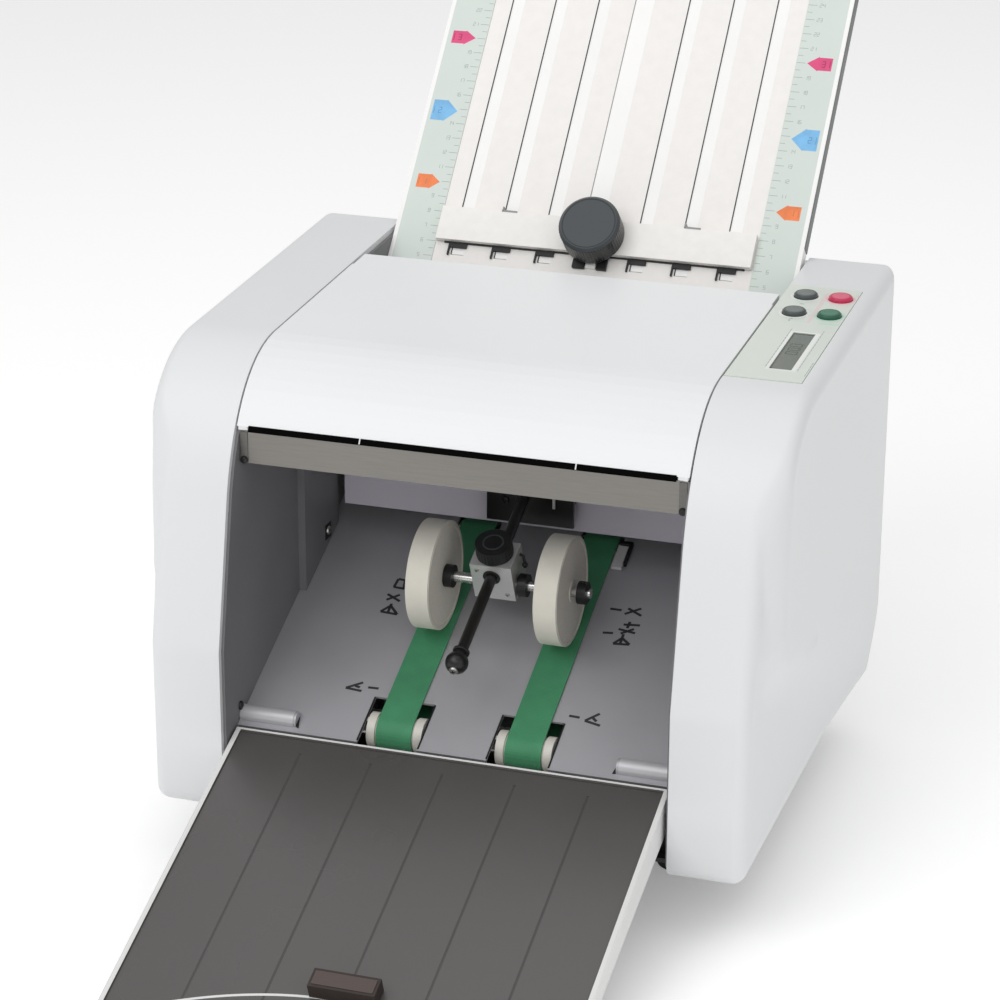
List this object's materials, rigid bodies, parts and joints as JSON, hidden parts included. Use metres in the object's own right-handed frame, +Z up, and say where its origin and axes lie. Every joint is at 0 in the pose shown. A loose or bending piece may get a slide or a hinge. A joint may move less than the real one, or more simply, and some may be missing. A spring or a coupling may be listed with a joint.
{
  "type": "paper folding machine",
  "caption": "Desktop paper folder with a slatted upper fold plate, a delivery cavity with stacker wheels over exit belts, a front tray and a rear feed table.",
  "frame": {"origin": "on the table the machine stands on, under the middle of its overall box", "axes": "+Z up; -Y towards the delivery end and its exit tray; +X to the right as seen by someone facing the delivery end, the side with the control panel"},
  "size_m": [0.358, 0.6528, 0.4542],
  "materials": {
    "pan_steel": "dark powder coat",
    "foot_rubber": "dull",
    "frame_steel": "dark powder coat",
    "cover_plastic": "fine-grained, light grey-white moulded covers",
    "lid_plastic": "fine-grained moulded cover",
    "bar_steel": "brushed along X",
    "panel_grey": "satin lavender grey",
    "deck_steel": "satin sheet steel",
    "belt_rubber": "woven green face",
    "roller_cream": "smooth",
    "shaft_steel": "ground",
    "black_metal": "black",
    "block_aluminium": "machined",
    "black_plastic": "knurled or moulded",
    "wheel_plastic": "beige grey",
    "tyre_cream": "soft cream tread",
    "tray_plastic": "dark warm grey, fine grain",
    "stop_brown": "dark brown",
    "plate_white": "off-white",
    "scale_green": "pale green with a plain scale",
    "stop_white": "fine grain",
    "knob_slate": "slate grey",
    "gear_plastic": "moulded",
    "roller_rubber": "ground rubber",
    "bush_brass": "sintered",
    "feed_rubber": "ribbed",
    "pad_brown": "dull",
    "table_plastic": "fine grain",
    "guide_green": "smooth",
    "motor_steel": "dark",
    "pulley_aluminium": "turned",
    "belt_black": "toothed",
    "overlay_green": "smooth film",
    "lcd_grey": "smooth display window",
    "key_dark": "smooth",
    "key_red": "smooth",
    "key_green": "smooth"
  },
  "bodies": {
    "base": {"base_pan": "pan_steel", "rubber_feet": "foot_rubber", "side_frame_left": "frame_steel", "side_frame_right": "frame_steel", "left_cover": "cover_plastic", "right_cover": "cover_plastic", "rear_cover": "cover_plastic", "front_cross_bar": "bar_steel", "rear_inner_panel": "panel_grey", "exit_deck": "deck_steel", "exit_belt_left": "belt_rubber", "exit_belt_right": "belt_rubber", "stacker_rod": "black_metal", "stacker_bracket": "black_metal", "tray_hinge_pins": "shaft_steel", "upper_plate_base": "plate_white", "upper_plate_grille": "plate_white", "upper_scale_strips": "scale_green", "lower_fold_plate": "shaft_steel", "shaft_bearings": "bush_brass", "separator_pad": "pad_brown", "drive_motor": "motor_steel", "drive_belt": "belt_black", "control_panel": "overlay_green", "lcd_window": "lcd_grey", "power_inlet": "black_plastic"},
    "top_lid": {"top_cover": "lid_plastic"},
    "belt_idler": {"belt_idler_rollers": "roller_cream", "belt_idler_shaft": "shaft_steel"},
    "belt_drive": {"belt_drive_shaft": "shaft_steel"},
    "stacker_carriage": {"stacker_block": "block_aluminium"},
    "stacker_wheel_set": {"stacker_wheels": "wheel_plastic", "stacker_tyres": "tyre_cream", "stacker_shaft": "shaft_steel", "stacker_collars": "black_plastic"},
    "stacker_lock": {"stacker_lock_knob": "black_plastic"},
    "tray": {"exit_tray": "tray_plastic"},
    "tray_slider": {"tray_stop": "stop_brown"},
    "upper_stop": {"upper_stop_bar": "stop_white"},
    "upper_stop_clamp": {"upper_stop_knob": "knob_slate"},
    "lower_stop": {"lower_stop_bar": "gear_plastic"},
    "lower_stop_clamp": {"lower_stop_knob": "black_plastic"},
    "roller_1": {"fold_roller_1": "roller_rubber", "roller_gear_1": "gear_plastic"},
    "roller_2": {"fold_roller_2": "roller_rubber", "roller_gear_2": "gear_plastic"},
    "roller_3": {"fold_roller_3": "roller_rubber", "roller_gear_3": "gear_plastic"},
    "roller_4": {"fold_roller_4": "roller_rubber", "roller_gear_4": "gear_plastic"},
    "feed_drum": {"feed_roller": "feed_rubber"},
    "motor_shaft": {"motor_pulley": "pulley_aluminium"},
    "table": {"feed_table": "table_plastic"},
    "guide_left": {"paper_guide_left": "guide_green"},
    "guide_right": {"paper_guide_right": "guide_green"},
    "rear_left_key": {"button_rear_left": "key_dark"},
    "stop_key": {"stop_button": "key_red"},
    "front_left_key": {"button_front_left": "key_dark"},
    "start_key": {"start_button": "key_green"},
    "rocker": {"power_switch": "black_plastic"}
  },
  "joints": [
    {"name": "motor_spin", "type": "hinge", "parent": "base", "child": "motor_shaft", "pos_m": [0, -0.07604, 0.069], "axis": [1, 0, 0], "continuous": true},
    {"name": "roller_2_spin", "type": "hinge", "parent": "base", "child": "roller_2", "pos_m": [0, 0.09066, 0.2234], "axis": [1, 0, 0], "continuous": true},
    {"name": "roller_1_spin", "type": "hinge", "parent": "base", "child": "roller_1", "pos_m": [0, 0.10037, 0.19671], "axis": [1, 0, 0], "continuous": true},
    {"name": "roller_3_spin", "type": "hinge", "parent": "base", "child": "roller_3", "pos_m": [0, 0.06397, 0.21369], "axis": [1, 0, 0], "continuous": true},
    {"name": "roller_4_spin", "type": "hinge", "parent": "base", "child": "roller_4", "pos_m": [0, 0.05426, 0.24037], "axis": [1, 0, 0], "continuous": true},
    {"name": "feed_roller_spin", "type": "hinge", "parent": "base", "child": "feed_drum", "pos_m": [0, 0.12069, 0.23444], "axis": [1, 0, 0], "continuous": true},
    {"name": "belt_drive_spin", "type": "hinge", "parent": "base", "child": "belt_drive", "pos_m": [0, 0.02974, 0.14157], "axis": [1, 0, 0], "continuous": true},
    {"name": "belt_idler_spin", "type": "hinge", "parent": "base", "child": "belt_idler", "pos_m": [0, -0.11186, 0.07853], "axis": [1, 0, 0], "continuous": true},
    {"name": "stacker_wheel_spin", "type": "hinge", "parent": "stacker_carriage", "child": "stacker_wheel_set", "pos_m": [0, -0.05259, 0.15045], "axis": [1, 0, 0], "continuous": true},
    {"name": "top_lid_hinge", "type": "hinge", "parent": "base", "child": "top_lid", "pos_m": [0, 0.06996, 0.281], "axis": [-1, 0, 0], "range_deg": [0, 60]},
    {"name": "stacker_slide", "type": "slide", "parent": "base", "child": "stacker_carriage", "axis": [0, 0.9135, 0.4067], "range_m": [-0.052, 0.03]},
    {"name": "stacker_lock_turn", "type": "hinge", "parent": "stacker_carriage", "child": "stacker_lock", "pos_m": [0, -0.05309, 0.1614], "axis": [0, -0.4067, 0.9135], "range_deg": [-180, 180]},
    {"name": "tray_fold", "type": "hinge", "parent": "base", "child": "tray", "pos_m": [0, -0.13978, 0.07011], "axis": [-1, 0, 0], "range_deg": [0, 85]},
    {"name": "tray_stop_slide", "type": "slide", "parent": "tray", "child": "tray_slider", "axis": [0, 0.9379, 0.3469], "range_m": [-0.025, 0.1]},
    {"name": "upper_stop_slide", "type": "slide", "parent": "base", "child": "upper_stop", "axis": [0, 0.6794, 0.7337], "range_m": [-0.006, 0.17]},
    {"name": "upper_stop_turn", "type": "hinge", "parent": "upper_stop", "child": "upper_stop_clamp", "pos_m": [0, 0.13265, 0.29762], "axis": [0, -0.7337, 0.6794], "range_deg": [-180, 180]},
    {"name": "lower_stop_slide", "type": "slide", "parent": "base", "child": "lower_stop", "axis": [0, 0.5446, 0.8387], "range_m": [-0.045, 0.05]},
    {"name": "lower_stop_turn", "type": "hinge", "parent": "lower_stop", "child": "lower_stop_clamp", "pos_m": [0, 0.02705, 0.11095], "axis": [0, 0.8387, -0.5446], "range_deg": [-180, 180]},
    {"name": "table_fold", "type": "hinge", "parent": "base", "child": "table", "pos_m": [0, 0.13515, 0.2181], "axis": [-1, 0, 0], "range_deg": [0, 75]},
    {"name": "guide_left_slide", "type": "slide", "parent": "table", "child": "guide_left", "axis": [1, 0, 0], "range_m": [0, 0.05]},
    {"name": "guide_right_slide", "type": "slide", "parent": "table", "child": "guide_right", "axis": [-1, 0, 0], "range_m": [0, 0.05]},
    {"name": "rear_left_key_press", "type": "slide", "parent": "base", "child": "rear_left_key", "axis": [0, 0.0382, -0.9993], "range_m": [0, 0.0015], "stiffness_N_per_m": 400},
    {"name": "stop_key_press", "type": "slide", "parent": "base", "child": "stop_key", "axis": [0, 0.0382, -0.9993], "range_m": [0, 0.0015], "stiffness_N_per_m": 400},
    {"name": "front_left_key_press", "type": "slide", "parent": "base", "child": "front_left_key", "axis": [0, 0.0382, -0.9993], "range_m": [0, 0.0015], "stiffness_N_per_m": 400},
    {"name": "start_key_press", "type": "slide", "parent": "base", "child": "start_key", "axis": [0, 0.0382, -0.9993], "range_m": [0, 0.0015], "stiffness_N_per_m": 400},
    {"name": "rocker_tilt", "type": "hinge", "parent": "base", "child": "rocker", "pos_m": [0.15, 0.14346, 0.111], "axis": [1, 0, 0], "range_deg": [0, 12]}
  ],
  "couplings": [
    {"joint": "roller_2_spin", "follows": "motor_spin", "ratio": 1},
    {"joint": "roller_1_spin", "follows": "motor_spin", "ratio": -1},
    {"joint": "roller_3_spin", "follows": "motor_spin", "ratio": -1},
    {"joint": "roller_4_spin", "follows": "motor_spin", "ratio": 1},
    {"joint": "feed_roller_spin", "follows": "motor_spin", "ratio": 1},
    {"joint": "belt_drive_spin", "follows": "motor_spin", "ratio": -1},
    {"joint": "belt_idler_spin", "follows": "motor_spin", "ratio": -1},
    {"joint": "stacker_wheel_spin", "follows": "motor_spin", "ratio": 0.3},
    {"joint": "guide_right_slide", "follows": "guide_left_slide", "ratio": 1}
  ]
}
